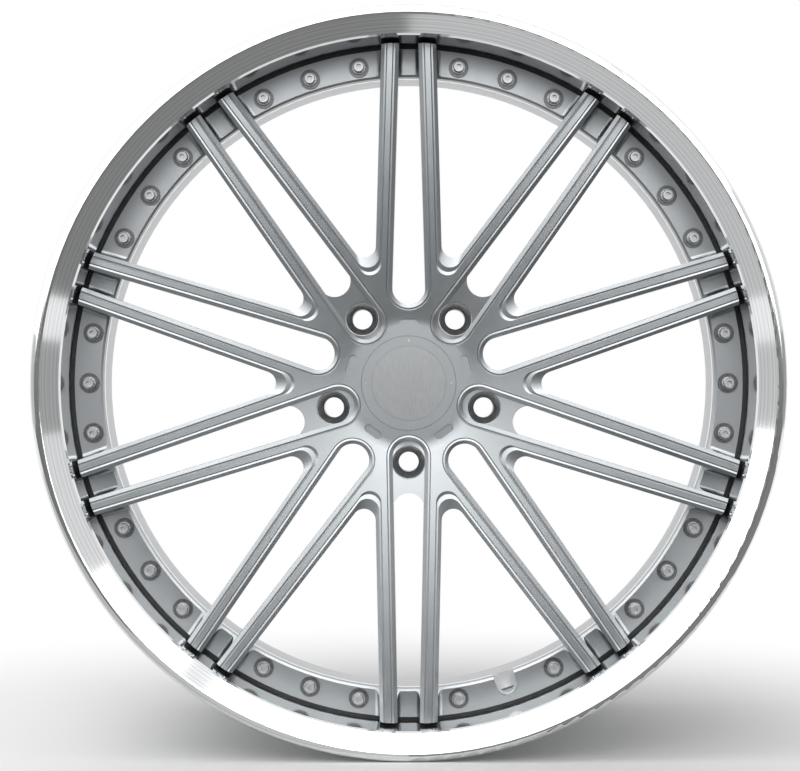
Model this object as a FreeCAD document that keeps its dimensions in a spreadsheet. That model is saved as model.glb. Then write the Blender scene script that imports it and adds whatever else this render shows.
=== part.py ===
import FreeCAD, Part
import math
import os

import Sketcher
from FreeCAD import Placement, Rotation, Vector

# Forged three-piece racing wheel rim. The wheel turns about +Y, its street side faces -Y and +Z is up.
# The origin lies on the axis, half way across the rim. Angles run clockwise from 12 o'clock, seen from
# the street side. A depth is measured rearwards from the foremost plane of the front flange.

SIZES = [
    # Rim contour
    ("rim_width", 254.0, "between the tyre sides of the two flanges"),
    ("flange_depth", 12.5, "axial depth of each flange"),
    ("seat_radius", 281.8, "tyre bead seat at the flange"),
    ("flange_height", 17.3, "flange above the bead seat"),
    ("seat_length", 20.0, "axial length of a bead seat"),
    ("seat_taper_drop", 1.75, "fall of a bead seat along its length"),
    ("hump_height", 1.4, "safety hump above the end of the seat"),
    ("hump_length", 5.0, "axial length of each flank of the hump"),
    ("shell_wall", 4.4, "wall of the barrel shell"),
    ("flange_edge_round", 2.6, "round on the flange's outer edges"),
    ("flange_foot_round", 6.0, "round between flange and bead seat"),
    ("flange_nose_round", 5.0, "round on the front of the flange"),
    # Front lip
    ("lip_wall_thickness", 4.5, "from the bead seat in to the lip's polished wall"),
    ("lip_crease_height", 1.1, "radial step where the wall meets the flange's slope"),
    ("lip_crease_depth", 13.5, "depth of that step"),
    ("lip_crease_run", 3.5, "axial length of that step"),
    ("lip_face_height", 9.8, "inner edge of the flange's nose above the bead seat"),
    ("lip_joint_depth", 77.5, "front of the lip's bolting flange"),
    ("lip_flange_thickness", 5.0, "lip's bolting flange"),
    ("joint_width", 25.4, "bolting flanges, from the lip's wall in to their bore"),
    ("joint_chamfer", 1.6, "chamfers on the tyre side that hold the sealant"),
    # Rear barrel
    ("barrel_flange_thickness", 15.0, "barrel's bolting flange"),
    ("barrel_bore_flare", 3.4, "flare of the barrel flange's bore behind its front edge"),
    ("barrel_bore_flare_run", 6.4, "length of that flare"),
    ("barrel_back_bevel", 4.0, "bevel between the barrel flange and the well's inner wall"),
    ("well_depth", 17.8, "floor of the drop well below the bead seat"),
    ("well_slope_run", 18.0, "axial run from the joint down to the well"),
    ("well_length", 50.0, "axial length of the well's floor"),
    ("well_rear_run", 26.0, "axial run from the well up to the rear shell"),
    ("valve_hole_radius", 5.75, "valve hole in the well"),
    ("valve_hole_behind_joint", 38.0, "valve hole behind the joint"),
    # Centre disc
    ("disc_edge_gap", 2.5, "radial gap between the disc and the lip wall"),
    ("disc_ring_thickness", 10.0, "bolt ring of the disc"),
    ("disc_ring_bevel", 1.8, "bevel on the ring's inner front edge"),
    ("spigot_length", 2.0, "spigot that centres the disc in the lip"),
    ("spigot_gap", 0.1, "radial gap round the spigot"),
    ("spoke_tip_depth", 37.0, "front of a spoke at its outer end"),
    ("hub_face_depth", 62.0, "flat front face of the hub"),
    ("hub_face_radius", 52.5, "where the spokes start to rise from the hub face"),
    ("hub_blend_radius", 40.0, "blend between hub face and spokes"),
    ("crown_radius", 1240.0, "lengthwise crown of the spokes"),
    ("hub_pad_depth", 102.5, "mounting face behind the hub"),
    ("hub_pad_radius", 82.0, "rim of the mounting face"),
    ("hub_back_radius", 92.0, "where the back starts to slope to the ring"),
    ("hub_pad_height", 5.0, "mounting face above the disc's back"),
    # Spoke pairs
    ("pair_count", 10, "twin-spoke pairs, every other one with a lug hole"),
    ("root_radius", 80.0, "radius at which the root widths are given"),
    ("tip_radius", 270.0, "radius at which the tip widths are given"),
    ("long_slot_root", 13.55, "half width of a long slot at the root"),
    ("long_slot_tip", 7.95, "half width of a long slot at the tip"),
    ("long_pair_root", 27.7, "half width over a pair with a long slot, at the root"),
    ("long_pair_tip", 22.3, "half width over a pair with a long slot, at the tip"),
    ("long_slot_end", 64.6, "inner end of a long slot"),
    ("lug_slot_root", 12.9, "half width of a lug slot at the root"),
    ("lug_slot_tip", 9.1, "half width of a lug slot at the tip"),
    ("lug_pair_root", 27.65, "half width over a pair with a lug hole, at the root"),
    ("lug_pair_tip", 23.4, "half width over a pair with a lug hole, at the tip"),
    ("lug_slot_end", 90.2, "inner end of the slot outside a lug hole"),
    ("lug_slot_end_radius", 13.3, "round at that end"),
    ("lug_pocket_end", 47.2, "inner end of a lug pocket's floor"),
    ("window_corner_radius", 9.6, "round at the inner end of a window"),
    ("shoulder_width", 2.9, "milled shoulder along each spoke edge"),
    ("shoulder_fall", 2.2, "fall of the shoulder over its width"),
    ("land_width", 1.3, "narrow land between the shoulder and the ridge"),
    ("land_dip", 0.3, "dip of the land towards the ridge"),
    ("ridge_chamfer", 0.9, "chamfer along the ridge, as wide as it is deep"),
    ("pocket_sink", 4.0, "floor of a lug pocket below the disc's front"),
    ("bay_fillet", 4.2, "fillet between a bolt bay and its spokes"),
    ("slot_fillet", 3.6, "fillet between the two spokes of a pair, on the bolt ring"),
    # Lug holes, hub bore and details of the hub
    ("lug_circle_radius", 65.0, "pitch radius of the lug holes"),
    ("lug_hole_radius", 8.25, "lug hole"),
    ("lug_seat_radius", 13.8, "pressed-in lug seat"),
    ("lug_seat_lip", 0.5, "flat rim of the seat around its cone"),
    ("lug_seat_depth", 66.3, "front of the lug seat"),
    ("lug_seat_length", 15.0, "length of the lug seat"),
    ("lug_cone_angle", 30.0, "half angle of the seat's cone in degrees"),
    ("lug_hole_clearance", 0.35, "disc's lug hole over the seat's hole"),
    ("press_gap", 0.02, "radial gap drawn at a press fit"),
    ("pill_radius", 49.4, "radius of the small recesses in the hub face"),
    ("pill_length", 16.4, "length of a recess"),
    ("pill_width", 6.6, "width of a recess"),
    ("pill_sink", 1.6, "depth of a recess"),
    ("hub_bore_radius", 35.8, "bore of the centring ring"),
    ("centring_ring_wall", 2.4, "wall of the centring ring"),
    ("centring_ring_length", 10.0, "length of the centring ring"),
    ("centring_lip", 1.2, "lead-in chamfer of the centring ring"),
    ("centring_clip_wire", 1.2, "spring wire that holds the centring ring"),
    # Bolting
    ("bolt_wall_distance", 14.7, "assembly bolts from the lip's wall"),
    ("bolt_step_angle", 9.0, "angle between neighbouring bolts in degrees"),
    ("bolts_per_bay", 3, "bolts between two pairs of spokes"),
    ("bolt_radius", 3.5, "shank"),
    ("bolt_hole_gap", 0.3, "radial gap round the shank"),
    ("bolt_head_radius", 4.6, "corners of the twelve-point head"),
    ("bolt_head_height", 5.5, "twelve-point head"),
    ("bolt_head_chamfer", 0.7, "chamfer on the corners of the head"),
    ("bolt_collar_radius", 5.3, "collar under the head"),
    ("bolt_collar_height", 1.5, "collar under the head"),
    ("bolt_dimple_radius", 2.05, "dimple in the head"),
    ("bolt_dimple_depth", 2.4, "dimple in the head"),
    ("washer_radius", 8.1, "washer"),
    ("washer_thickness", 1.4, "washer"),
    ("spot_face_gap", 0.35, "radial gap round the washer"),
    ("spot_face_depth", 0.8, "spot face in the bolt ring"),
    ("insert_radius", 5.4, "captive threaded insert"),
    ("insert_length", 12.0, "captive threaded insert"),
    ("insert_recess", 0.3, "insert below the barrel's joint face"),
    # Valve notch
    ("notch_angle", 162.0, "place of the notch, clockwise from 12 o'clock"),
    ("notch_wall_distance", 15.7, "centre of the notch's round end from the lip's wall"),
    ("notch_half_width", 8.6, "half width of the notch"),
    # Seal and sealant
    ("seal_sink", 2.5, "front of the gap seal below the bolt ring"),
    ("seal_fit_gap", 0.05, "radial gap drawn beside the seal"),
    ("sealant_proud", 0.5, "sealant above the rim surface"),
    # Centre cap
    ("cap_radius", 38.6, "rim of the cap"),
    ("cap_gap", 0.3, "radial gap between the cap and the hub"),
    ("cap_rim_thickness", 4.0, "rim of the cap"),
    ("cap_seat_gap", 0.3, "gap under the cap's rim"),
    ("cap_bore_radius", 33.4, "disc bore that takes the cap's skirt"),
    ("cap_skirt_gap", 0.7, "radial gap round the skirt"),
    ("cap_skirt_length", 20.0, "skirt behind the rim"),
    ("cap_skirt_wall", 2.6, "skirt"),
    ("cap_slit_count", 6, "slits that part the skirt into spring legs"),
    ("cap_slit_width", 4.0, "width of a slit"),
    ("cap_slit_length", 11.0, "length of a slit"),
    ("cap_groove_wire", 2.0, "groove for the seal and for the clip ring"),
    ("cap_oring_place", 4.5, "seal groove behind the cap's rim"),
    ("cap_clip_place", 15.0, "clip groove behind the cap's rim"),
    ("plate_radius", 30.5, "face plate set into the cap"),
    ("plate_thickness", 1.5, "face plate"),
    ("plate_gap", 0.15, "gap round the face plate"),
    ("pin_circle_radius", 35.0, "pitch radius of the face pins"),
    ("pin_radius", 0.8, "face pin"),
    ("pin_length", 3.0, "face pin"),
    ("pin_count", 4, "face pins"),
]

doc = FreeCAD.newDocument("forged_rim")
sheet = doc.addObject("Spreadsheet::Sheet", "Sizes")


class Size:
    """A number together with the sheet expression that it comes from."""

    def __init__(self, value, text):
        self.value = value
        self.text = text

    def joined(self, sign, other, value):
        return Size(value, f"({self.text} {sign} {as_size(other).text})")

    def __add__(self, other):
        return self.joined("+", other, self.value + float(other))

    def __sub__(self, other):
        return self.joined("-", other, self.value - float(other))

    def __mul__(self, other):
        return self.joined("*", other, self.value * float(other))

    def __truediv__(self, other):
        return self.joined("/", other, self.value / float(other))

    def __neg__(self):
        return Size(-self.value, f"(-{self.text})")

    def __float__(self):
        return float(self.value)

    def __int__(self):
        return int(self.value)


def as_size(number):
    return number if isinstance(number, Size) else Size(float(number), repr(float(number)))


class Sizes:
    """The sheet's cells by alias, so that s.rim_width is the cell's value and expression."""

    def __init__(self, rows):
        for row, (alias, value, note) in enumerate(rows, start=1):
            sheet.set(f"A{row}", note)
            sheet.set(f"B{row}", str(value))
            sheet.setAlias(f"B{row}", alias)
            setattr(self, alias, Size(value, f"Sizes.{alias}"))


s = Sizes(SIZES)
doc.recompute()

half_overall = s.rim_width / 2 + s.flange_depth
flange_radius = s.seat_radius + s.flange_height
lip_wall_radius = s.seat_radius - s.lip_wall_thickness
lip_face_radius = s.seat_radius + s.lip_face_height
well_radius = s.seat_radius - s.well_depth
joint_bore_radius = lip_wall_radius - s.joint_width
bolt_circle_radius = lip_wall_radius - s.bolt_wall_distance
notch_centre_radius = lip_wall_radius - s.notch_wall_distance
disc_radius = lip_wall_radius - s.disc_edge_gap
disc_back_depth = s.lip_joint_depth
disc_ring_depth = disc_back_depth - s.disc_ring_thickness
joint_depth = s.lip_joint_depth + s.lip_flange_thickness
centring_ring_radius = s.hub_bore_radius + s.centring_ring_wall
cap_seat_radius = s.cap_radius + s.cap_gap
PAIR_STEP = 360.0 / int(s.pair_count)
SAME_PLACE = 0.01


def at(depth):
    """The Y of a depth behind the front flange."""
    return as_size(depth) - half_overall


def bind(thing, place, size):
    thing.setExpression(place, as_size(size).text)


# ---------------------------------------------------------------------------------------------------
# Sketches and turned bodies


def new_body(name):
    body = doc.addObject("PartDesign::Body", name)
    body.Label = name
    return body


def origin_plane(body, role):
    return next(item for item in body.Origin.OriginFeatures if item.Role == role)


def new_sketch(body, name, role, offset=None):
    """A sketch on one of the body's origin planes. XZ_Plane faces -Y, so its offset runs to -Y."""
    sketch = body.newObject("Sketcher::SketchObject", name)
    sketch.AttachmentSupport = [(origin_plane(body, role), "")]
    sketch.MapMode = "FlatFace"
    if offset is not None:
        sketch.AttachmentOffset = Placement(Vector(0, 0, float(offset)), Rotation())
        bind(sketch, "AttachmentOffset.Base.z", offset)
    return sketch


def hold(sketch, kind, geometry, point, size):
    """Ties one point of the sketch to the origin along X or Y."""
    index = sketch.addConstraint(Sketcher.Constraint(kind, -1, 1, geometry, point, float(size)))
    bind(sketch, f"Constraints[{index}]", size)


def corner_round(before, corner, after, radius):
    """Entry, exit and centre of the arc that rounds a corner, and whether it turns anticlockwise."""
    back = (before - corner).normalize()
    on = (after - corner).normalize()
    half_angle = back.getAngle(on) / 2
    run = radius / math.tan(half_angle)
    centre = corner + (back + on).normalize() * (radius / math.sin(half_angle))
    return corner + back * run, corner + on * run, centre, back.cross(on).z < 0


def draw_outline(sketch, corners):
    """A closed outline of straight lines. A corner is its two sizes, and a third one rounds it."""
    points = [Vector(float(corner[0]), float(corner[1]), 0) for corner in corners]
    count = len(points)
    rounds = [corner_round(points[i - 1], points[i], points[(i + 1) % count], float(corner[2]))
              if len(corner) == 3 else None for i, corner in enumerate(corners)]
    starts = [rounds[i][1] if rounds[i] else points[i] for i in range(count)]
    ends = [rounds[i][0] if rounds[i] else points[i] for i in range(count)]
    lines = [sketch.addGeometry(Part.LineSegment(starts[i], ends[(i + 1) % count])) for i in range(count)]
    for i, corner in enumerate(corners):
        line, previous = lines[i], lines[i - 1]
        if rounds[i] is None:
            sketch.addConstraint(Sketcher.Constraint("Coincident", previous, 2, line, 1))
            hold(sketch, "DistanceX", line, 1, corner[0])
            hold(sketch, "DistanceY", line, 1, corner[1])
            continue
        entry, leave, centre, anticlockwise = rounds[i]
        first, last = (entry, leave) if anticlockwise else (leave, entry)
        spread = [math.atan2(point.y - centre.y, point.x - centre.x) for point in (first, last)]
        circle = Part.Circle(centre, Vector(0, 0, 1), float(corner[2]))
        arc = sketch.addGeometry(Part.ArcOfCircle(circle, spread[0], spread[1]))
        entry_end, leave_end = (1, 2) if anticlockwise else (2, 1)
        sharp = sketch.addGeometry(Part.Point(points[i]), True)
        hold(sketch, "DistanceX", sharp, 1, corner[0])
        hold(sketch, "DistanceY", sharp, 1, corner[1])
        sketch.addConstraint(Sketcher.Constraint("PointOnObject", sharp, 1, previous))
        sketch.addConstraint(Sketcher.Constraint("PointOnObject", sharp, 1, line))
        sketch.addConstraint(Sketcher.Constraint("Tangent", previous, 2, arc, entry_end))
        sketch.addConstraint(Sketcher.Constraint("Tangent", arc, leave_end, line, 1))
        index = sketch.addConstraint(Sketcher.Constraint("Radius", arc, float(corner[2])))
        bind(sketch, f"Constraints[{index}]", corner[2])


def draw_circle(sketch, across, up, radius):
    centre = Vector(float(across), float(up), 0)
    circle = sketch.addGeometry(Part.Circle(centre, Vector(0, 0, 1), float(radius)))
    hold(sketch, "DistanceX", circle, 3, across)
    hold(sketch, "DistanceY", circle, 3, up)
    index = sketch.addConstraint(Sketcher.Constraint("Radius", circle, float(radius)))
    bind(sketch, f"Constraints[{index}]", radius)


def turn(body, name, corners):
    """Turns a section of (radius, depth) corners, some with a rounding, about the wheel's axis."""
    sketch = new_sketch(body, name + "_section", "XY_Plane")
    draw_outline(sketch, [(radius, at(depth), *rounding) for radius, depth, *rounding in corners])
    solid = body.newObject("PartDesign::Revolution", name)
    solid.Profile = sketch
    solid.ReferenceAxis = (sketch, ["V_Axis"])
    solid.Angle = 360.0
    doc.recompute()
    return solid


def turned_body(name, corners):
    body = new_body(name)
    turn(body, name + "_turning", corners)
    return body


def bored(body, name, circles, start, length, count):
    """Cuts round holes rearwards from a depth, each (pitch radius, angle, radius), and repeats them."""
    sketch = new_sketch(body, name + "_sketch", "XZ_Plane", -at(start))
    for pitch, angle, radius in circles:
        across = Size(float(pitch) * math.sin(math.radians(angle)), f"({pitch.text} * sin({angle}))")
        up = Size(float(pitch) * math.cos(math.radians(angle)), f"({pitch.text} * cos({angle}))")
        draw_circle(sketch, across, up, radius)
    pocket = body.newObject("PartDesign::Pocket", name)
    pocket.Profile = sketch
    pocket.Type = 0
    pocket.Length = float(length)
    bind(pocket, "Length", length)
    doc.recompute()
    repeated(body, name + "_pattern", pocket, sketch, count)


def repeated(body, name, feature, sketch, count):
    pattern = body.newObject("PartDesign::PolarPattern", name)
    pattern.Originals = [feature]
    pattern.Axis = (sketch, ["N_Axis"])
    pattern.Angle = 360.0
    pattern.Occurrences = int(count)
    bind(pattern, "Occurrences", count)
    body.Tip = pattern
    doc.recompute()


# ---------------------------------------------------------------------------------------------------
# Free shapes, set with Part's own functions from the same sizes


def turned_shape(corners):
    """A solid turned from (radius, depth) corners; a third item is the middle of an arc to the next."""
    edges = []
    for i, corner in enumerate(corners):
        start = Vector(float(corner[0]), float(at(corner[1])), 0)
        following = corners[(i + 1) % len(corners)]
        end = Vector(float(following[0]), float(at(following[1])), 0)
        if len(corner) == 3:
            middle = Vector(float(corner[2][0]), float(at(corner[2][1])), 0)
            edges.append(Part.Arc(start, middle, end).toShape())
        else:
            edges.append(Part.LineSegment(start, end).toShape())
    return Part.Face(Part.Wire(edges)).revolve(Vector(), Vector(0, 1, 0), 360)


def rod(radius, start, length, pitch=0.0, angle=0.0):
    """A round rod along the axis, from a depth rearwards, at a pitch radius and angle."""
    turn_to = math.radians(angle)
    base = Vector(float(pitch) * math.sin(turn_to), float(at(start)), float(pitch) * math.cos(turn_to))
    return Part.makeCylinder(float(radius), float(length), base, Vector(0, 1, 0))


def around(shape, angle):
    copy = shape.copy()
    copy.rotate(Vector(), Vector(0, 1, 0), angle)
    return copy


def feature(name, shape):
    thing = doc.addObject("Part::Feature", name)
    thing.Label = name
    thing.Shape = shape
    thing.Placement = Placement()
    return thing


# ---------------------------------------------------------------------------------------------------
# Centre disc


class Face:
    """The disc's crowned front: a flat hub face, a blend and one long arc out to the spoke tips."""

    def __init__(self):
        self.hub_depth = float(s.hub_face_depth)
        self.blend = float(s.hub_blend_radius)
        self.crown = float(s.crown_radius)
        start = Vector(float(s.hub_face_radius), self.hub_depth, 0)
        tip = Vector(float(disc_radius), float(s.spoke_tip_depth), 0)
        chord = tip - start
        middle = (start + tip) * 0.5
        away = Vector(-chord.y, chord.x, 0).normalize()
        self.centre = middle + away * math.sqrt(self.crown ** 2 - (chord.Length / 2) ** 2)
        rise = self.centre.y - (self.hub_depth - self.blend)
        self.blend_centre = Vector(self.centre.x - math.sqrt((self.crown + self.blend) ** 2 - rise ** 2),
                                   self.hub_depth - self.blend, 0)
        towards = (self.blend_centre - self.centre).normalize()
        self.blend_end = self.centre + towards * self.crown

    def depth(self, radius):
        if radius <= self.blend_centre.x:
            return self.hub_depth
        if radius <= self.blend_end.x:
            over = radius - self.blend_centre.x
            return self.blend_centre.y + math.sqrt(self.blend ** 2 - over ** 2)
        return self.centre.y - math.sqrt(self.crown ** 2 - (radius - self.centre.x) ** 2)

    def corners(self, inner_radius, drop=0.0):
        """The front from the inner radius to the disc's edge, as corners with arc middles."""
        flat = self.blend_centre.x
        end = self.blend_end.x
        edge = float(disc_radius)
        half_blend = (flat + end) / 2
        half_crown = (end + edge) / 2
        return [(inner_radius, self.hub_depth + drop),
                (flat, self.hub_depth + drop, (half_blend, self.depth(half_blend) + drop)),
                (end, self.depth(end) + drop, (half_crown, self.depth(half_crown) + drop)),
                (edge, self.depth(edge) + drop)]


face = Face()
SIDE_POINTS = 9
ROUND_POINTS = 9


def line_through(root_half, tip_half, turn_to=0.0, side=1.0):
    """A spoke edge as a point and direction in the (across, up) plane, given by its two half widths."""
    angle = math.radians(turn_to)

    def placed(across, up):
        return Vector(across * math.cos(angle) + up * math.sin(angle),
                      up * math.cos(angle) - across * math.sin(angle), 0)
    root = placed(side * float(root_half), float(s.root_radius))
    tip = placed(side * float(tip_half), float(s.tip_radius))
    return root, (tip - root).normalize()


def moved_line(line, across):
    """The line moved sideways; a positive distance goes to the left of its outward direction."""
    point, direction = line
    return point + Vector(-direction.y, direction.x, 0) * across, direction


def rounded_end(left, right, radius):
    """Centre and touch points of the circle that rounds off the inner end between two lines."""
    (left_point, left_way), (right_point, right_way) = left, right
    inner_left = moved_line(left, -radius)
    inner_right = moved_line(right, radius)
    cross = inner_left[1].x * inner_right[1].y - inner_left[1].y * inner_right[1].x
    gap = inner_right[0] - inner_left[0]
    along = (gap.x * inner_right[1].y - gap.y * inner_right[1].x) / cross
    centre = inner_left[0] + inner_left[1] * along
    touch_left = left_point + left_way * (centre - left_point).dot(left_way)
    touch_right = right_point + right_way * (centre - right_point).dot(right_way)
    return centre, touch_left, touch_right


def outline_points(left, right, centre, touch_left, touch_right, reach):
    """Runs of points up the left line, across beyond the disc, down the right line and round the end."""
    far_left = left[0] + left[1] * (reach - left[0].dot(left[1]))
    far_right = right[0] + right[1] * (reach - right[0].dot(right[1]))

    def straight(start, end, count):
        return [start + (end - start) * (i / (count - 1)) for i in range(count)]
    start = touch_right - centre
    end = touch_left - centre
    begin_angle = math.atan2(start.y, start.x)
    end_angle = math.atan2(end.y, end.x)
    while end_angle > begin_angle:
        end_angle -= 2 * math.pi
    sweep = end_angle - begin_angle
    radius = start.Length
    bend = [centre + Vector(math.cos(begin_angle + sweep * i / (2 * ROUND_POINTS)),
                            math.sin(begin_angle + sweep * i / (2 * ROUND_POINTS)), 0) * radius
            for i in range(2 * ROUND_POINTS + 1)]
    return [straight(touch_left, far_left, SIDE_POINTS), straight(far_left, far_right, SIDE_POINTS),
            straight(far_right, touch_right, SIDE_POINTS), bend[:ROUND_POINTS + 1], bend[ROUND_POINTS:]]


def wire_from(runs, depth_of):
    """A closed wire of smooth edges through the runs, each point at its own depth."""
    edges = []
    for run in runs:
        points = [Vector(point.x, float(at(depth_of(point))), point.y) for point in run]
        curve = Part.BSplineCurve()
        curve.interpolate(Points=points, Parameters=[i / (len(run) - 1) for i in range(len(run))])
        edges.append(curve.toShape())
    return Part.Wire(edges)


def milled_cutter(outline):
    """A cutter for a hole through the disc, from an outline that can be widened all round.

    Along the hole's edge it leaves a chamfered ridge, a narrow land and a sloping shoulder."""
    ahead = float(s.spoke_tip_depth) / 2
    behind = float(s.hub_pad_depth) + 2 * float(s.hub_pad_height)
    shoulder = float(s.shoulder_width)
    land = shoulder + float(s.land_width)
    chamfer = float(s.ridge_chamfer)
    land_depth = chamfer - float(s.land_dip)

    def on_face(drop):
        return lambda point: face.depth(point.Length) + drop
    over = chamfer / 2
    ridge = outline(land + chamfer + over)
    edge = outline(0.0)
    wires = [wire_from(ridge, lambda point: ahead),
             wire_from(ridge, on_face(-over)),
             wire_from(outline(land), on_face(chamfer)),
             wire_from(outline(shoulder), on_face(land_depth)),
             wire_from(edge, on_face(land_depth + float(s.shoulder_fall))),
             wire_from(edge, lambda point: behind)]
    return Part.makeLoft(wires, True, True)


REACH = float(disc_radius) + float(s.disc_ring_thickness)


def window_cutter():
    """The window between a pair with a long slot and the next pair, which has a lug hole."""
    left = line_through(s.long_pair_root, s.long_pair_tip)
    right = line_through(s.lug_pair_root, s.lug_pair_tip, PAIR_STEP, -1.0)

    def outline(wider):
        wide_left = moved_line(left, wider)
        wide_right = moved_line(right, -wider)
        end = rounded_end(wide_left, wide_right, float(s.window_corner_radius))
        return outline_points(wide_left, wide_right, *end, REACH)
    return milled_cutter(outline)


FITTING_ROUNDS = 20


def slot_end(left, right, end):
    """The round end of a slot whose lines widen inwards, closing at the given radius from the axis."""
    half = abs(left[0].x)
    for _ in range(FITTING_ROUNDS):
        along = (end + half - left[0].y) / left[1].y
        half = abs(left[0].x + left[1].x * along) / math.hypot(1.0, left[1].x / left[1].y)
    centre = Vector(0, end + half, 0)
    touch_left = left[0] + left[1] * (centre - left[0]).dot(left[1])
    touch_right = right[0] + right[1] * (centre - right[0]).dot(right[1])
    return centre, touch_left, touch_right


def slot_cutter(root_half, tip_half, inner_end):
    """The slot between the two spokes of a pair, down to its inner end."""
    left = line_through(root_half, tip_half, side=-1.0)
    right = line_through(root_half, tip_half)

    def outline(wider):
        wide_left = moved_line(left, wider)
        wide_right = moved_line(right, -wider)
        end = slot_end(wide_left, wide_right, float(inner_end) - wider)
        return outline_points(wide_left, wide_right, *end, REACH)
    return milled_cutter(outline)


def lug_web():
    """What stays between a lug hole and its slot, below the pocket's floor."""
    behind = s.hub_pad_depth + s.hub_pad_height * 2
    reach = s.lug_slot_end + s.lug_slot_end_radius
    floor = face.corners(0.0, float(s.pocket_sink))
    under = turned_shape(floor + [(disc_radius, behind), (0.0, behind)])
    half = float(s.lug_pair_root)
    block = Part.makeBox(2 * half, float(behind), float(reach), Vector(-half, float(at(0.0)), 0))
    return under.common(block).cut(rod(s.lug_slot_end_radius, 0.0, behind, reach))


def disc_blank():
    """The forging before its windows are cut: crowned front, sloping back and mounting pad."""
    pad_back = s.hub_pad_depth - s.hub_pad_height
    spigot_radius = joint_bore_radius - s.spigot_gap
    cap_seat = s.hub_face_depth + s.cap_rim_thickness + s.cap_seat_gap
    return turned_shape(face.corners(cap_seat_radius) + [
        (disc_radius, disc_back_depth),
        (spigot_radius, disc_back_depth),
        (spigot_radius, disc_back_depth + s.spigot_length),
        (s.hub_back_radius, pad_back),
        (s.hub_pad_radius, pad_back),
        (s.hub_pad_radius, s.hub_pad_depth),
        (centring_ring_radius + s.press_gap, s.hub_pad_depth),
        (centring_ring_radius + s.press_gap, s.hub_pad_depth - s.centring_ring_length),
        (s.cap_bore_radius, s.hub_pad_depth - s.centring_ring_length),
        (s.cap_bore_radius, cap_seat),
        (cap_seat_radius, cap_seat)])


def bolt_ring():
    """The ring that the spokes end on, with its bevel and the spigot behind it."""
    spigot_radius = joint_bore_radius - s.spigot_gap
    return turned_shape([
        (spigot_radius + s.disc_ring_bevel, disc_ring_depth),
        (disc_radius, disc_ring_depth),
        (disc_radius, disc_back_depth),
        (spigot_radius, disc_back_depth),
        (spigot_radius, disc_ring_depth + s.disc_ring_bevel / 2)])


def pill_cutter():
    """A small round-ended recess in the hub face, lying across its radius."""
    half = float(s.pill_width) / 2
    reach = float(s.pill_length) / 2 - half
    start = float(s.spoke_tip_depth)
    length = float(s.hub_face_depth) - start + float(s.pill_sink)
    place = Vector(0, float(at(start)), float(s.pill_radius))
    ends = [Part.makeCylinder(half, length, place + Vector(side * reach, 0, 0), Vector(0, 1, 0))
            for side in (-1, 1)]
    bar = Part.makeBox(2 * reach, length, 2 * half, place - Vector(reach, 0, half))
    return bar.fuse(ends).removeSplitter()


def notch_cutter():
    """The notch for the valve, open towards the axis and round at its outer end."""
    start = s.spoke_tip_depth
    length = joint_depth - start
    half = float(s.notch_half_width)
    inner = float(joint_bore_radius) - 2 * float(s.disc_ring_bevel)
    run = float(notch_centre_radius) - inner
    bar = Part.makeBox(2 * half, float(length), run, Vector(-half, float(at(start)), inner))
    shape = bar.fuse(rod(half, start, length, notch_centre_radius)).removeSplitter()
    return around(shape, float(s.notch_angle))


def spoke_feet(shape, between_twins):
    """The lines where spoke walls stand on the bolt ring, between twin spokes or in the bolt bays."""
    y = float(at(disc_ring_depth))
    inner = float(joint_bore_radius) + float(s.disc_ring_bevel) / 2
    twin_half = (float(s.long_slot_tip) + float(s.long_pair_tip)) / 2
    found = []
    for edge in shape.Edges:
        box = edge.BoundBox
        off_plane = max(abs(box.YMin - y), abs(box.YMax - y))
        if off_plane > SAME_PLACE or isinstance(edge.Curve, Part.Circle):
            continue
        middle = edge.valueAt((edge.FirstParameter + edge.LastParameter) / 2)
        radius = math.hypot(middle.x, middle.z)
        off_pair = math.degrees(math.atan2(middle.x, middle.z)) % PAIR_STEP
        across = radius * math.sin(math.radians(min(off_pair, PAIR_STEP - off_pair)))
        if radius > inner and (across < twin_half) == between_twins:
            found.append(edge)
    return found


def bolt_angles():
    """Bolt places in every bay but the one that the valve notch takes."""
    step = float(s.bolt_step_angle)
    places = [PAIR_STEP * bay + step * (i + 1) for bay in range(int(s.pair_count))
              for i in range(int(s.bolts_per_bay))]
    return [angle for angle in places if abs(angle - float(s.notch_angle)) > step / 2]


LONG_ANGLES = [2 * PAIR_STEP * i for i in range(int(s.pair_count) // 2)]
LUG_ANGLES = [angle + PAIR_STEP for angle in LONG_ANGLES]


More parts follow.
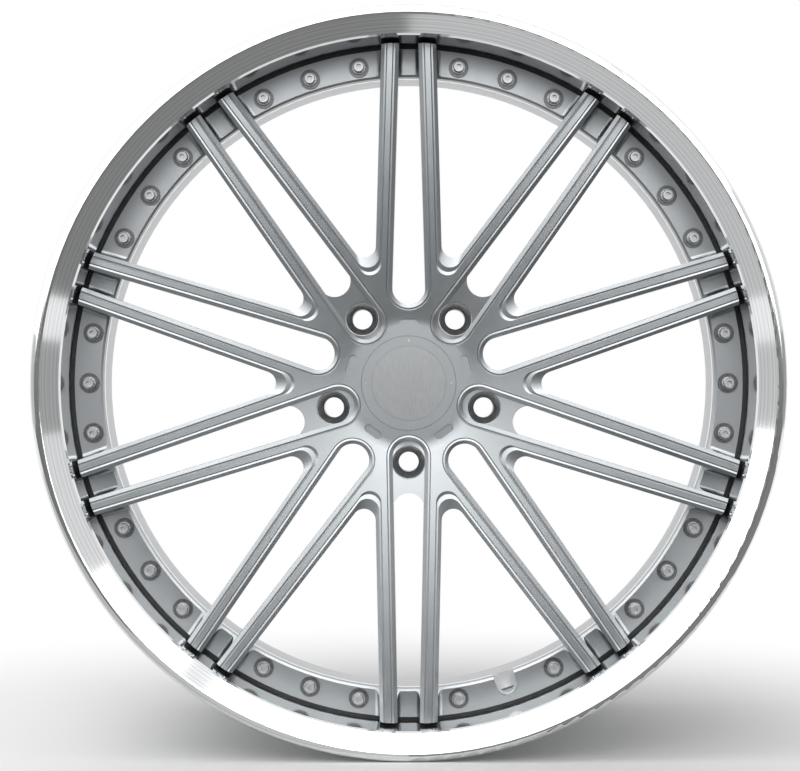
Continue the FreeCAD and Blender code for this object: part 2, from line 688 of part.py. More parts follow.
def centre_disc():
    window = window_cutter()
    mirrored = window.mirror(Vector(), Vector(1, 0, 0))
    long_slot = slot_cutter(s.long_slot_root, s.long_slot_tip, s.long_slot_end)
    lug_slot = slot_cutter(s.lug_slot_root, s.lug_slot_tip, s.lug_pocket_end).cut(lug_web())
    cutters = []
    for angle in LONG_ANGLES:
        cutters += [around(window, angle), around(mirrored, angle), around(long_slot, angle)]
        cutters.append(around(pill_cutter(), angle))
    cutters += [around(lug_slot, angle) for angle in LUG_ANGLES]
    star = disc_blank().cut(cutters)
    disc = star.fuse(bolt_ring()).removeSplitter()
    disc = disc.makeFillet(float(s.bay_fillet), spoke_feet(disc, False))
    disc = disc.makeFillet(float(s.slot_fillet), spoke_feet(disc, True))
    holes = [notch_cutter()]
    spot_depth = disc_ring_depth + s.spot_face_depth
    for angle in bolt_angles():
        holes.append(rod(s.bolt_radius + s.bolt_hole_gap, s.spoke_tip_depth, s.hub_pad_depth,
                         bolt_circle_radius, angle))
        holes.append(rod(s.washer_radius + s.spot_face_gap, s.spoke_tip_depth,
                         spot_depth - s.spoke_tip_depth, bolt_circle_radius, angle))
    for angle in LUG_ANGLES:
        holes.append(rod(s.lug_hole_radius + s.lug_hole_clearance, s.hub_face_depth, s.hub_pad_depth,
                         s.lug_circle_radius, angle))
        holes.append(rod(s.lug_seat_radius + s.press_gap, s.spoke_tip_depth,
                         s.lug_seat_depth + s.lug_seat_length - s.spoke_tip_depth,
                         s.lug_circle_radius, angle))
    return disc.cut(holes)


# ---------------------------------------------------------------------------------------------------
# Rim halves


def flange_corners(front):
    """Tyre side of a flange and its bead seat as (radius, depth) corners, from the flange inwards.

    Counted from the front face for the lip and from the rear face, backwards, for the barrel."""
    def deep(distance):
        return as_size(distance) if front else half_overall * 2 - distance
    seat_end = s.flange_depth + s.seat_length
    low = s.seat_radius - s.seat_taper_drop
    return [(flange_radius, deep(s.flange_depth), s.flange_edge_round),
            (s.seat_radius, deep(s.flange_depth), s.flange_foot_round),
            (low, deep(seat_end)),
            (low + s.hump_height, deep(seat_end + s.hump_length)),
            (low, deep(seat_end + s.hump_length * 2))]


def outer_lip():
    low = s.seat_radius - s.seat_taper_drop
    crease_radius = lip_wall_radius + s.lip_crease_height
    body = new_body("outer_lip")
    turn(body, "lip_turning", [(flange_radius, as_size(0.0), s.flange_nose_round)] + flange_corners(True) + [
        (low, joint_depth - s.joint_chamfer),
        (low - s.joint_chamfer, joint_depth),
        (joint_bore_radius, joint_depth),
        (joint_bore_radius, s.lip_joint_depth),
        (lip_wall_radius, s.lip_joint_depth),
        (lip_wall_radius, s.lip_crease_depth + s.lip_crease_run),
        (crease_radius, s.lip_crease_depth),
        (lip_face_radius, as_size(0.0), s.flange_edge_round)])
    bay = [(bolt_circle_radius, float(s.bolt_step_angle) * (i + 1), s.bolt_radius + s.bolt_hole_gap)
           for i in range(int(s.bolts_per_bay))]
    bored(body, "lip_bolt_holes", bay, s.lip_joint_depth, s.lip_flange_thickness, s.pair_count)
    cut_notch(body, "lip_notch", s.lip_joint_depth, s.lip_flange_thickness)
    return body


def cut_notch(body, name, start, length):
    """Cuts the valve notch rearwards from a depth, with the same width and round end as the disc's."""
    sketch = new_sketch(body, name + "_sketch", "XZ_Plane", -at(start))
    angle = float(s.notch_angle)
    across = Size(float(notch_centre_radius) * math.sin(math.radians(angle)),
                  f"({notch_centre_radius.text} * sin({s.notch_angle.text}))")
    up = Size(float(notch_centre_radius) * math.cos(math.radians(angle)),
              f"({notch_centre_radius.text} * cos({s.notch_angle.text}))")
    draw_circle(sketch, across, up, s.notch_half_width)
    round_pocket = body.newObject("PartDesign::Pocket", name + "_round")
    round_pocket.Profile = sketch
    round_pocket.Type = 0
    round_pocket.Length = float(length)
    bind(round_pocket, "Length", length)
    bar_sketch = new_sketch(body, name + "_bar", "XZ_Plane", -at(start))
    inner = joint_bore_radius - s.disc_ring_bevel
    corners = []
    for radius, side in ((inner, -1), (notch_centre_radius, -1), (notch_centre_radius, 1), (inner, 1)):
        turn_to = s.notch_angle.text
        half = s.notch_half_width * side
        rad = math.radians(angle)
        corners.append((Size(float(radius) * math.sin(rad) + float(half) * math.cos(rad),
                             f"({radius.text} * sin({turn_to}) + {half.text} * cos({turn_to}))"),
                        Size(float(radius) * math.cos(rad) - float(half) * math.sin(rad),
                             f"({radius.text} * cos({turn_to}) - {half.text} * sin({turn_to}))")))
    draw_outline(bar_sketch, corners)
    bar_pocket = body.newObject("PartDesign::Pocket", name + "_open")
    bar_pocket.Profile = bar_sketch
    bar_pocket.Type = 0
    bar_pocket.Length = float(length)
    bind(bar_pocket, "Length", length)
    body.Tip = bar_pocket
    doc.recompute()


def inner_barrel():
    low = s.seat_radius - s.seat_taper_drop
    inner_well = well_radius - s.shell_wall
    inner_shell = low - s.shell_wall
    flange_back = joint_depth + s.barrel_flange_thickness
    well_start = joint_depth + s.joint_chamfer + s.well_slope_run
    well_end = well_start + s.well_length
    shell_start = well_end + s.well_rear_run
    rear = half_overall * 2
    nose = s.flange_edge_round * 2
    body = new_body("inner_barrel")
    turn(body, "barrel_turning", [
        (joint_bore_radius, joint_depth),
        (low - s.joint_chamfer, joint_depth),
        (low, joint_depth + s.joint_chamfer),
        (well_radius, well_start),
        (well_radius, well_end),
        (low, shell_start)] + flange_corners(False)[::-1] + [
        (flange_radius, rear, s.flange_nose_round),
        (s.seat_radius + nose, rear),
        (inner_shell, rear - s.flange_depth),
        (inner_shell, shell_start),
        (inner_well, well_end),
        (inner_well, flange_back + s.barrel_back_bevel),
        (joint_bore_radius + s.barrel_bore_flare, flange_back),
        (joint_bore_radius + s.barrel_bore_flare, joint_depth + s.barrel_bore_flare_run)])
    bay = [(bolt_circle_radius, float(s.bolt_step_angle) * (i + 1), s.insert_radius + s.press_gap)
           for i in range(int(s.bolts_per_bay))]
    bored(body, "barrel_insert_holes", bay, joint_depth, s.insert_recess + s.insert_length, s.pair_count)
    cut_notch(body, "barrel_notch", joint_depth, s.barrel_flange_thickness)
    drill_valve_hole(body)
    return body


def drill_valve_hole(body):
    """Drills the valve hole radially through the well, in line with the notch."""
    sketch = body.newObject("Sketcher::SketchObject", "valve_hole_sketch")
    sketch.AttachmentSupport = [(origin_plane(body, "XY_Plane"), "")]
    sketch.MapMode = "FlatFace"
    angle = s.notch_angle
    sketch.AttachmentOffset = Placement(Vector(), Rotation(Vector(0, 1, 0), float(angle)))
    bind(sketch, "AttachmentOffset.Rotation.Angle", angle)
    draw_circle(sketch, as_size(0.0), at(joint_depth + s.valve_hole_behind_joint), s.valve_hole_radius)
    pocket = body.newObject("PartDesign::Pocket", "valve_hole")
    pocket.Profile = sketch
    pocket.Type = 0
    pocket.Reversed = True
    pocket.Length = float(flange_radius)
    bind(pocket, "Length", flange_radius)
    body.Tip = pocket
    doc.recompute()


# ---------------------------------------------------------------------------------------------------
# Fasteners, seats, seals and the hub ring


HEXAGON_STEP = 60.0


def bolt_shape():
    """A twelve-point bolt with a collar and a dimpled head, on the axis at its own depth."""
    collar_depth = disc_ring_depth + s.spot_face_depth - s.washer_thickness - s.bolt_collar_height
    head_depth = collar_depth - s.bolt_head_height
    tip_depth = joint_depth + s.insert_recess + s.insert_length
    hexagons = []
    for turn_to in (0.0, HEXAGON_STEP / 2):
        angles = [math.radians(HEXAGON_STEP * i + turn_to) for i in range(7)]
        corners = [Vector(float(s.bolt_head_radius) * math.cos(angle), float(at(head_depth)),
                          float(s.bolt_head_radius) * math.sin(angle)) for angle in angles]
        prism = Part.Face(Part.makePolygon(corners)).extrude(Vector(0, float(s.bolt_head_height), 0))
        hexagons.append(prism)
    chamfered = turned_shape([(0.0, head_depth),
                              (s.bolt_head_radius - s.bolt_head_chamfer, head_depth),
                              (s.bolt_head_radius, head_depth + s.bolt_head_chamfer),
                              (s.bolt_head_radius, collar_depth),
                              (0.0, collar_depth)])
    head = hexagons[0].fuse(hexagons[1]).common(chamfered)
    dimple = rod(s.bolt_dimple_radius, head_depth, s.bolt_dimple_depth)
    collar = rod(s.bolt_collar_radius, collar_depth, s.bolt_collar_height)
    shank = rod(s.bolt_radius, collar_depth, tip_depth - collar_depth)
    return head.fuse([collar, shank]).removeSplitter().cut(dimple)


def washer_shape():
    start = disc_ring_depth + s.spot_face_depth - s.washer_thickness
    hole = rod(s.bolt_radius + s.bolt_hole_gap, start, s.washer_thickness)
    return rod(s.washer_radius, start, s.washer_thickness).cut(hole)


def insert_shape():
    start = joint_depth + s.insert_recess
    return rod(s.insert_radius, start, s.insert_length).cut(rod(s.bolt_radius, start, s.insert_length))


def lug_seat_shape():
    """A steel seat with a cone for the lug bolt or nut and a plain hole behind it."""
    cone_radius = float(s.lug_seat_radius - s.lug_seat_lip)
    cone_length = (cone_radius - float(s.lug_hole_radius)) / math.tan(math.radians(float(s.lug_cone_angle)))
    front = float(at(s.lug_seat_depth))
    cone = Part.makeCone(cone_radius, float(s.lug_hole_radius), cone_length,
                         Vector(0, front, 0), Vector(0, 1, 0))
    body = rod(s.lug_seat_radius, s.lug_seat_depth, s.lug_seat_length)
    return body.cut(cone).cut(rod(s.lug_hole_radius, s.lug_seat_depth, s.lug_seat_length))


def ring_of(shape, pitch, angles):
    """Copies of a shape that lies on the axis, set out on a circle."""
    copies = []
    for angle in angles:
        copy = shape.copy()
        copy.translate(Vector(0, 0, float(pitch)))
        copies.append(around(copy, angle))
    return Part.makeCompound(copies)


def gap_seal_ring():
    front = disc_ring_depth + s.seal_sink
    return turned_body("gap_seal_ring", [
        (disc_radius + s.seal_fit_gap, front),
        (lip_wall_radius - s.seal_fit_gap, front),
        (lip_wall_radius - s.seal_fit_gap, s.lip_joint_depth),
        (disc_radius + s.seal_fit_gap, s.lip_joint_depth)])


def joint_sealant():
    """The bead of sealant in the groove that the two halves' chamfers form."""
    low = s.seat_radius - s.seat_taper_drop
    return turned_body("joint_sealant", [
        (low - s.joint_chamfer, joint_depth),
        (low, joint_depth - s.joint_chamfer),
        (low + s.sealant_proud, joint_depth - s.joint_chamfer / 2),
        (low + s.sealant_proud, joint_depth + s.joint_chamfer / 2),
        (low, joint_depth + s.joint_chamfer)])


def hub_ring():
    rear = s.hub_pad_depth
    front = rear - s.centring_ring_length
    groove = s.centring_clip_wire / 2
    middle = rear - s.centring_ring_length / 2
    return turned_body("hub_ring", [
        (s.hub_bore_radius, front),
        (centring_ring_radius, front),
        (centring_ring_radius, middle - groove),
        (centring_ring_radius - s.centring_clip_wire, middle - groove),
        (centring_ring_radius - s.centring_clip_wire, middle + groove),
        (centring_ring_radius, middle + groove),
        (centring_ring_radius, rear),
        (s.hub_bore_radius + s.centring_lip, rear),
        (s.hub_bore_radius, rear - s.centring_lip)])


def wire_ring(name, outer_radius, wire, depth):
    """A ring of round wire in its groove, about the wheel's axis."""
    ring = doc.addObject("Part::Torus", name)
    ring.Label = name
    bind(ring, "Radius1", outer_radius - wire / 2)
    bind(ring, "Radius2", wire / 2)
    ring.Placement = Placement(Vector(0, float(at(depth)), 0), Rotation(Vector(1, 0, 0), -90))
    bind(ring, "Placement.Base.y", at(depth))
    return ring


# ---------------------------------------------------------------------------------------------------
# Centre cap, one body of pieces that pulls off towards the street side

cap_rim_back = s.hub_face_depth + s.cap_rim_thickness
skirt_radius = s.cap_bore_radius - s.cap_skirt_gap


def centre_cap():
    """A turned cap with a recess for its face plate and a skirt slit into spring legs."""
    recess_back = s.hub_face_depth + s.plate_thickness
    skirt_end = cap_rim_back + s.cap_skirt_length
    skirt_inner = skirt_radius - s.cap_skirt_wall
    groove_half = s.cap_groove_wire / 2
    groove_floor = skirt_radius - s.cap_groove_wire + s.cap_skirt_gap / 2
    grooves = []
    for place in (s.cap_oring_place, s.cap_clip_place):
        centre = cap_rim_back + place
        grooves += [(skirt_radius, centre - groove_half), (groove_floor, centre - groove_half),
                    (groove_floor, centre + groove_half), (skirt_radius, centre + groove_half)]
    body = turned_body("centre_cap", [
        (as_size(0.0), recess_back),
        (s.plate_radius + s.plate_gap, recess_back),
        (s.plate_radius + s.plate_gap, s.hub_face_depth),
        (s.cap_radius, s.hub_face_depth),
        (s.cap_radius, cap_rim_back),
        (skirt_radius, cap_rim_back)] + grooves + [
        (skirt_radius, skirt_end),
        (skirt_inner, skirt_end),
        (skirt_inner, cap_rim_back),
        (as_size(0.0), cap_rim_back)])
    bored(body, "cap_pin_holes", [(s.pin_circle_radius, 0.0, s.pin_radius + s.press_gap)],
          s.hub_face_depth, s.pin_length, s.pin_count)
    sketch = new_sketch(body, "cap_slit_sketch", "XZ_Plane", -at(skirt_end - s.cap_slit_length))
    half = s.cap_slit_width / 2
    draw_outline(sketch, [(-half, skirt_inner - s.cap_slit_width), (half, skirt_inner - s.cap_slit_width),
                          (half, s.cap_bore_radius), (-half, s.cap_bore_radius)])
    slit = body.newObject("PartDesign::Pocket", "cap_slit")
    slit.Profile = sketch
    slit.Type = 0
    slit.Length = float(s.cap_slit_length)
    bind(slit, "Length", s.cap_slit_length)
    doc.recompute()
    repeated(body, "cap_slits", slit, sketch, s.cap_slit_count)
    return body


def cap_face_plate():
    plate = doc.addObject("Part::Cylinder", "cap_face_plate")
    plate.Label = "cap_face_plate"
    bind(plate, "Radius", s.plate_radius)
    bind(plate, "Height", s.plate_thickness)
    plate.Placement = Placement(Vector(0, float(at(s.hub_face_depth)), 0), Rotation(Vector(1, 0, 0), -90))
    bind(plate, "Placement.Base.y", at(s.hub_face_depth))
    return plate


# ---------------------------------------------------------------------------------------------------
# Assembly

bolt_places = bolt_angles()
pin_angles = [360.0 * i / int(s.pin_count) for i in range(int(s.pin_count))]
pieces = [
    feature("centre_disc", centre_disc()),
    outer_lip(),
    inner_barrel(),
    feature("assembly_bolts", ring_of(bolt_shape(), bolt_circle_radius, bolt_places)),
    feature("bolt_washers", ring_of(washer_shape(), bolt_circle_radius, bolt_places)),
    feature("thread_inserts", ring_of(insert_shape(), bolt_circle_radius, bolt_places)),
    feature("lug_seats", ring_of(lug_seat_shape(), s.lug_circle_radius, LUG_ANGLES)),
    gap_seal_ring(),
    joint_sealant(),
    hub_ring(),
    wire_ring("hub_ring_clip", centring_ring_radius, s.centring_clip_wire,
              s.hub_pad_depth - s.centring_ring_length / 2),
    centre_cap(),
    cap_face_plate(),
    feature("cap_face_pins", ring_of(rod(s.pin_radius, s.hub_face_depth, s.pin_length),
                                     s.pin_circle_radius, pin_angles)),
    wire_ring("cap_clip_ring", skirt_radius + s.cap_skirt_gap / 2, s.cap_groove_wire,
              cap_rim_back + s.cap_clip_place),
    wire_ring("cap_seal_ring", skirt_radius + s.cap_skirt_gap / 2, s.cap_groove_wire,
              cap_rim_back + s.cap_oring_place),
]
doc.recompute()

for thing in doc.Objects:
    if "Invalid" in thing.State or "Error" in thing.State:
        raise RuntimeError(f"{thing.Label} failed: {thing.State}")
for piece in pieces:
    if piece.Shape.isNull() or not piece.Shape.isValid():
        raise RuntimeError(f"{piece.Label} has no valid shape")

os.makedirs("parts", exist_ok=True)
for piece in pieces:
    piece.Shape.exportStep(f"parts/{piece.Label}.step")
    print(f"{piece.Label}: {len(piece.Shape.Solids)} solids, {piece.Shape.Volume / 1000:.2f} cm3")
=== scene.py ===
import math
import bpy
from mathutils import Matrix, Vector


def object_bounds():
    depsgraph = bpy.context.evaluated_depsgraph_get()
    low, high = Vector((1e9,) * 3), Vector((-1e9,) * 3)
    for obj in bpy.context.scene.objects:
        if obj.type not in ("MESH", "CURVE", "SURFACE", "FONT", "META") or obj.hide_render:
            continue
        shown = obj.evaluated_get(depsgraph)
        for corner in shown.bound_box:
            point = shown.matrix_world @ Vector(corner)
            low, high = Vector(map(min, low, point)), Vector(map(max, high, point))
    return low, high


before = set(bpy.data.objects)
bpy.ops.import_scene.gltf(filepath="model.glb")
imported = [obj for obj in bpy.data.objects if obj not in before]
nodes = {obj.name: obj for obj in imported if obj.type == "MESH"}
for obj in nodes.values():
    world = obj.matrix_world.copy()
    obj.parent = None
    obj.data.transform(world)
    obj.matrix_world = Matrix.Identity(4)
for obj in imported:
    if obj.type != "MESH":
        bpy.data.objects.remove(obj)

solid_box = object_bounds()

# ---------------------------------------------------------------------------------------------------
# Centre disc
# The one-piece forging with ten twin spokes, the hub and the bolt ring. It is 6000-series aluminium,
# milled on its front and then painted silver with a satin clear coat over fine metal flakes.

DISC_SILVER = (0.305, 0.32, 0.33, 1.0)
DISC_SHADE = (0.26, 0.275, 0.285, 1.0)
FLAKE_SIZE = 0.00022
FLAKE_LIFT = 0.0000015
MILLING_WAVE = 0.012


class Finish:
    """A material built up from nodes, with the part's own coordinates in metres as its start."""

    def __init__(self, name, metallic, roughness):
        self.material = bpy.data.materials.new(name)
        self.material.use_nodes = True
        self.tree = self.material.node_tree
        self.shader = self.tree.nodes["Principled BSDF"]
        self.shader.inputs["Metallic"].default_value = metallic
        self.shader.inputs["Roughness"].default_value = roughness
        self.place = self.node("ShaderNodeTexCoord").outputs["Object"]
        self.normal = None

    def node(self, kind, **settings):
        made = self.tree.nodes.new(kind)
        for key, value in settings.items():
            setattr(made, key, value)
        return made

    def link(self, start, end):
        self.tree.links.new(start, end)

    def math(self, operation, first, second=0.0):
        made = self.node("ShaderNodeMath", operation=operation)
        for socket, value in zip(made.inputs, (first, second)):
            if isinstance(value, (int, float)):
                socket.default_value = value
            else:
                self.link(value, socket)
        return made.outputs[0]

    def grain(self, size, detail=2.0, stretch=(1.0, 1.0, 1.0)):
        """Noise whose spots are about the given size in metres."""
        mapping = self.node("ShaderNodeMapping")
        mapping.inputs["Scale"].default_value = stretch
        self.link(self.place, mapping.inputs["Vector"])
        noise = self.node("ShaderNodeTexNoise")
        noise.inputs["Scale"].default_value = 1.0 / size
        noise.inputs["Detail"].default_value = detail
        self.link(mapping.outputs["Vector"], noise.inputs["Vector"])
        return noise.outputs["Fac"]

    def radius(self):
        """Distance from the wheel's axis."""
        flat = self.node("ShaderNodeVectorMath", operation="MULTIPLY")
        flat.inputs[1].default_value = (1.0, 0.0, 1.0)
        self.link(self.place, flat.inputs[0])
        length = self.node("ShaderNodeVectorMath", operation="LENGTH")
        self.link(flat.outputs["Vector"], length.inputs[0])
        return length.outputs["Value"]

    def radius_on_floor(self):
        """Distance from the upright line through the middle of the wheel."""
        flat = self.node("ShaderNodeVectorMath", operation="MULTIPLY")
        flat.inputs[1].default_value = (1.0, 1.0, 0.0)
        self.link(self.place, flat.inputs[0])
        length = self.node("ShaderNodeVectorMath", operation="LENGTH")
        self.link(flat.outputs["Vector"], length.inputs[0])
        return length.outputs["Value"]

    def turned(self, pitch):
        """Tool marks of a lathe, from 0 to 1, with the given pitch in metres."""
        along = self.node("ShaderNodeSeparateXYZ")
        self.link(self.place, along.inputs["Vector"])
        run = self.math("ADD", self.radius(), along.outputs["Y"])
        wave = self.math("SINE", self.math("MULTIPLY", run, 2.0 * math.pi / pitch))
        return self.math("MULTIPLY_ADD", wave, 0.5)

    def rings(self, width):
        """Uneven fine rings round the axis, of about the given width in metres."""
        noise = self.node("ShaderNodeTexNoise", noise_dimensions="1D")
        noise.inputs["Scale"].default_value = 1.0 / width
        noise.inputs["Detail"].default_value = 4.0
        self.link(self.radius(), noise.inputs["W"])
        return noise.outputs["Fac"]

    def spread(self, value, low, high):
        """The value, from 0 to 1, spread over a range."""
        made = self.node("ShaderNodeMapRange")
        made.inputs["To Min"].default_value = low
        made.inputs["To Max"].default_value = high
        self.link(value, made.inputs["Value"])
        return made.outputs["Result"]

    def colours(self, value, *stops):
        """Colour along a ramp of (place, colour) stops."""
        ramp = self.node("ShaderNodeValToRGB")
        stops = list(stops)
        while len(ramp.color_ramp.elements) < len(stops):
            ramp.color_ramp.elements.new(0.5)
        for element, (place, colour) in zip(ramp.color_ramp.elements, stops):
            element.position = place
            element.color = colour
        self.link(value, ramp.inputs["Fac"])
        self.link(ramp.outputs["Color"], self.shader.inputs["Base Color"])

    def rough(self, value, low, high):
        self.link(self.spread(value, low, high), self.shader.inputs["Roughness"])

    def raised(self, value, height):
        """Bump of the given height in metres, on top of any earlier one."""
        bump = self.node("ShaderNodeBump")
        bump.inputs["Strength"].default_value = 1.0
        bump.inputs["Distance"].default_value = height
        self.link(value, bump.inputs["Height"])
        if self.normal is not None:
            self.link(self.normal, bump.inputs["Normal"])
        self.normal = bump.outputs["Normal"]
        self.link(self.normal, self.shader.inputs["Normal"])

    def put_on(self, thing):
        thing.data.materials.clear()
        thing.data.materials.append(self.material)


disc_paint = Finish("disc_silver_paint", metallic=0.9, roughness=0.36)
flakes = disc_paint.grain(FLAKE_SIZE)
cloud = disc_paint.grain(MILLING_WAVE, detail=3.0)
disc_paint.colours(flakes, (0.35, DISC_SHADE), (0.65, DISC_SILVER))
disc_paint.rough(cloud, 0.32, 0.42)
disc_paint.raised(flakes, FLAKE_LIFT)
disc_paint.shader.inputs["Coat Weight"].default_value = 0.25
disc_paint.shader.inputs["Coat Roughness"].default_value = 0.25
disc_paint.put_on(nodes["centre_disc"])

# ---------------------------------------------------------------------------------------------------
# Outer lip
# The street-side half of the rim, spun from sheet aluminium, turned to size and polished to a
# mirror. The faint marks of the lathe and the polishing mop run round it.

LIP_BRIGHT = (0.86, 0.87, 0.875, 1.0)
LIP_STREAK = (0.72, 0.73, 0.74, 1.0)
LIP_STREAK_WIDTH = 0.0011
LIP_HAZE_SIZE = 0.03
LIP_MARK_PITCH = 0.0006
LIP_MARK_LIFT = 0.0000006

lip_polish = Finish("lip_polish", metallic=1.0, roughness=0.08)
lip_streaks = lip_polish.rings(LIP_STREAK_WIDTH)
lip_haze = lip_polish.grain(LIP_HAZE_SIZE, detail=4.0)
lip_polish.colours(lip_streaks, (0.38, LIP_STREAK), (0.6, LIP_BRIGHT))
lip_polish.rough(lip_haze, 0.05, 0.13)
lip_polish.raised(lip_polish.turned(LIP_MARK_PITCH), LIP_MARK_LIFT)
lip_polish.put_on(nodes["outer_lip"])

# ---------------------------------------------------------------------------------------------------
# Inner barrel
# The brake-side half of the rim, spun from sheet aluminium and turned on its seats and flanges.
# It is painted a lighter silver than the disc, and the spinning marks show through the paint.

BARREL_LIGHT = (0.70, 0.71, 0.72, 1.0)
BARREL_DULL = (0.60, 0.61, 0.62, 1.0)
BARREL_HAZE_SIZE = 0.02
SPIN_PITCH = 0.0022
SPIN_LIFT = 0.000012

barrel_paint = Finish("barrel_silver_paint", metallic=0.6, roughness=0.38)
barrel_haze = barrel_paint.grain(BARREL_HAZE_SIZE, detail=4.0)
barrel_paint.colours(barrel_haze, (0.3, BARREL_DULL), (0.7, BARREL_LIGHT))
barrel_paint.rough(barrel_haze, 0.3, 0.45)
barrel_paint.raised(barrel_paint.turned(SPIN_PITCH), SPIN_LIFT)
barrel_paint.put_on(nodes["inner_barrel"])

# ---------------------------------------------------------------------------------------------------
# Assembly bolts
# Twenty-nine small steel bolts that clamp the disc and the lip to the barrel's flange. They are
# bright zinc plated, and their heads have a fine turned face.

BOLT_BRIGHT = (0.46, 0.465, 0.47, 1.0)
BOLT_WORN = (0.36, 0.365, 0.37, 1.0)
BOLT_SPOT_SIZE = 0.0012
BOLT_SPOT_LIFT = 0.000003

bolt_plating = Finish("bolt_bright_zinc", metallic=1.0, roughness=0.25)
bolt_spots = bolt_plating.grain(BOLT_SPOT_SIZE, detail=3.0)
bolt_plating.colours(bolt_spots, (0.35, BOLT_WORN), (0.65, BOLT_BRIGHT))
bolt_plating.rough(bolt_spots, 0.3, 0.45)
bolt_plating.raised(bolt_spots, BOLT_SPOT_LIFT)
bolt_plating.put_on(nodes["assembly_bolts"])

# ---------------------------------------------------------------------------------------------------
# Bolt washers
# A hardened washer of plated steel under each bolt head. It is coloured near black as painted shade,
# for the shadow in the recess round each head, so that each head stands out from the paint round it.

# Both washer colours are painted shade: near black, for the shadow in the recess round each bolt head.
WASHER_PAINTED_SHADE = (0.09, 0.091, 0.093, 1.0)
WASHER_PAINTED_SHADE_PALE = (0.14, 0.142, 0.145, 1.0)
WASHER_SPOT_SIZE = 0.0016
WASHER_SPOT_LIFT = 0.000004

washer_shade_paint = Finish("washer_painted_dark_shade", metallic=1.0, roughness=0.35)
washer_spots = washer_shade_paint.grain(WASHER_SPOT_SIZE, detail=3.0)
washer_shade_paint.colours(washer_spots, (0.35, WASHER_PAINTED_SHADE), (0.65, WASHER_PAINTED_SHADE_PALE))
washer_shade_paint.rough(washer_spots, 0.28, 0.45)
washer_shade_paint.raised(washer_spots, WASHER_SPOT_LIFT)
washer_shade_paint.put_on(nodes["bolt_washers"])

# ---------------------------------------------------------------------------------------------------
# Thread inserts
# Steel bushes pressed into the barrel's flange, which carry the threads of the assembly bolts.
# They are left in oiled dark steel.

INSERT_DARK = (0.20, 0.20, 0.205, 1.0)
INSERT_LIGHT = (0.32, 0.32, 0.325, 1.0)
INSERT_SPOT_SIZE = 0.0015
INSERT_SPOT_LIFT = 0.00001

insert_steel = Finish("insert_oiled_steel", metallic=1.0, roughness=0.4)
insert_spots = insert_steel.grain(INSERT_SPOT_SIZE, detail=3.0)
insert_steel.colours(insert_spots, (0.35, INSERT_DARK), (0.65, INSERT_LIGHT))
insert_steel.rough(insert_spots, 0.3, 0.5)
insert_steel.raised(insert_spots, INSERT_SPOT_LIFT)
insert_steel.put_on(nodes["thread_inserts"])

# ---------------------------------------------------------------------------------------------------
# Lug seats
# Five steel bushes pressed into the disc, each with the 60 degree cone that a wheel nut pulls down
# on. The cone is turned bright, and nuts have rubbed light rings into it.

SEAT_STEEL = (0.42, 0.425, 0.43, 1.0)
SEAT_RUBBED = (0.60, 0.605, 0.61, 1.0)
SEAT_MARK_SIZE = 0.0008
SEAT_MARK_STRETCH = (0.15, 1.0, 0.15)
SEAT_MARK_LIFT = 0.000012

seat_steel = Finish("lug_seat_turned_steel", metallic=1.0, roughness=0.3)
seat_rings = seat_steel.grain(SEAT_MARK_SIZE, stretch=SEAT_MARK_STRETCH)
seat_steel.colours(seat_rings, (0.35, SEAT_STEEL), (0.65, SEAT_RUBBED))
seat_steel.rough(seat_rings, 0.22, 0.4)
seat_steel.raised(seat_rings, SEAT_MARK_LIFT)
seat_steel.put_on(nodes["lug_seats"])

# ---------------------------------------------------------------------------------------------------
# Gap seal ring
# A black rubber ring that closes the gap between the disc's bolt ring and the wall of the lip, so
# that no dirt packs in there.

SEAL_BLACK = (0.012, 0.012, 0.013, 1.0)
SEAL_DUSTY = (0.03, 0.03, 0.031, 1.0)
SEAL_DUST_SIZE = 0.004
RUBBER_GRAIN = 0.0006
RUBBER_LIFT = 0.00002

seal_rubber = Finish("gap_seal_rubber", metallic=0.0, roughness=0.6)
seal_dust = seal_rubber.grain(SEAL_DUST_SIZE, detail=4.0)
seal_rubber.colours(seal_dust, (0.4, SEAL_BLACK), (0.75, SEAL_DUSTY))
seal_rubber.rough(seal_dust, 0.5, 0.75)
seal_rubber.raised(seal_rubber.grain(RUBBER_GRAIN), RUBBER_LIFT)
seal_rubber.put_on(nodes["gap_seal_ring"])

# ---------------------------------------------------------------------------------------------------
# Joint sealant
# The bead of silicone run round the joint of the two rim halves on the tyre side. It holds the air,
# and it is grey and slightly wavy from being smoothed by hand.

SEALANT_GREY = (0.28, 0.28, 0.285, 1.0)
SEALANT_PALE = (0.36, 0.36, 0.365, 1.0)
SEALANT_RIPPLE = 0.006
SEALANT_RIPPLE_LIFT = 0.0003
SEALANT_GLOW_DEPTH = 0.002

sealant = Finish("joint_silicone", metallic=0.0, roughness=0.4)
sealant_ripple = sealant.grain(SEALANT_RIPPLE, detail=3.0)
sealant.colours(sealant_ripple, (0.35, SEALANT_GREY), (0.65, SEALANT_PALE))
sealant.rough(sealant_ripple, 0.3, 0.5)
sealant.raised(sealant_ripple, SEALANT_RIPPLE_LIFT)
sealant.shader.inputs["Subsurface Weight"].default_value = 0.1
sealant.shader.inputs["Subsurface Radius"].default_value = (SEALANT_GLOW_DEPTH,) * 3
sealant.put_on(nodes["joint_sealant"])

# ---------------------------------------------------------------------------------------------------
# Hub ring
# The hub-centring ring pressed into the back of the disc. It is turned aluminium with a clear
# anodised skin.

RING_ALUMINIUM = (0.52, 0.525, 0.53, 1.0)
RING_PALE = (0.62, 0.625, 0.63, 1.0)
RING_MARK_PITCH = 0.0004
RING_MARK_LIFT = 0.000004
RING_SPOT_SIZE = 0.002

ring_skin = Finish("hub_ring_anodised", metallic=1.0, roughness=0.32)
ring_spots = ring_skin.grain(RING_SPOT_SIZE, detail=3.0)
ring_skin.colours(ring_spots, (0.35, RING_ALUMINIUM), (0.65, RING_PALE))
ring_skin.rough(ring_spots, 0.26, 0.4)
ring_skin.raised(ring_skin.turned(RING_MARK_PITCH), RING_MARK_LIFT)
ring_skin.put_on(nodes["hub_ring"])

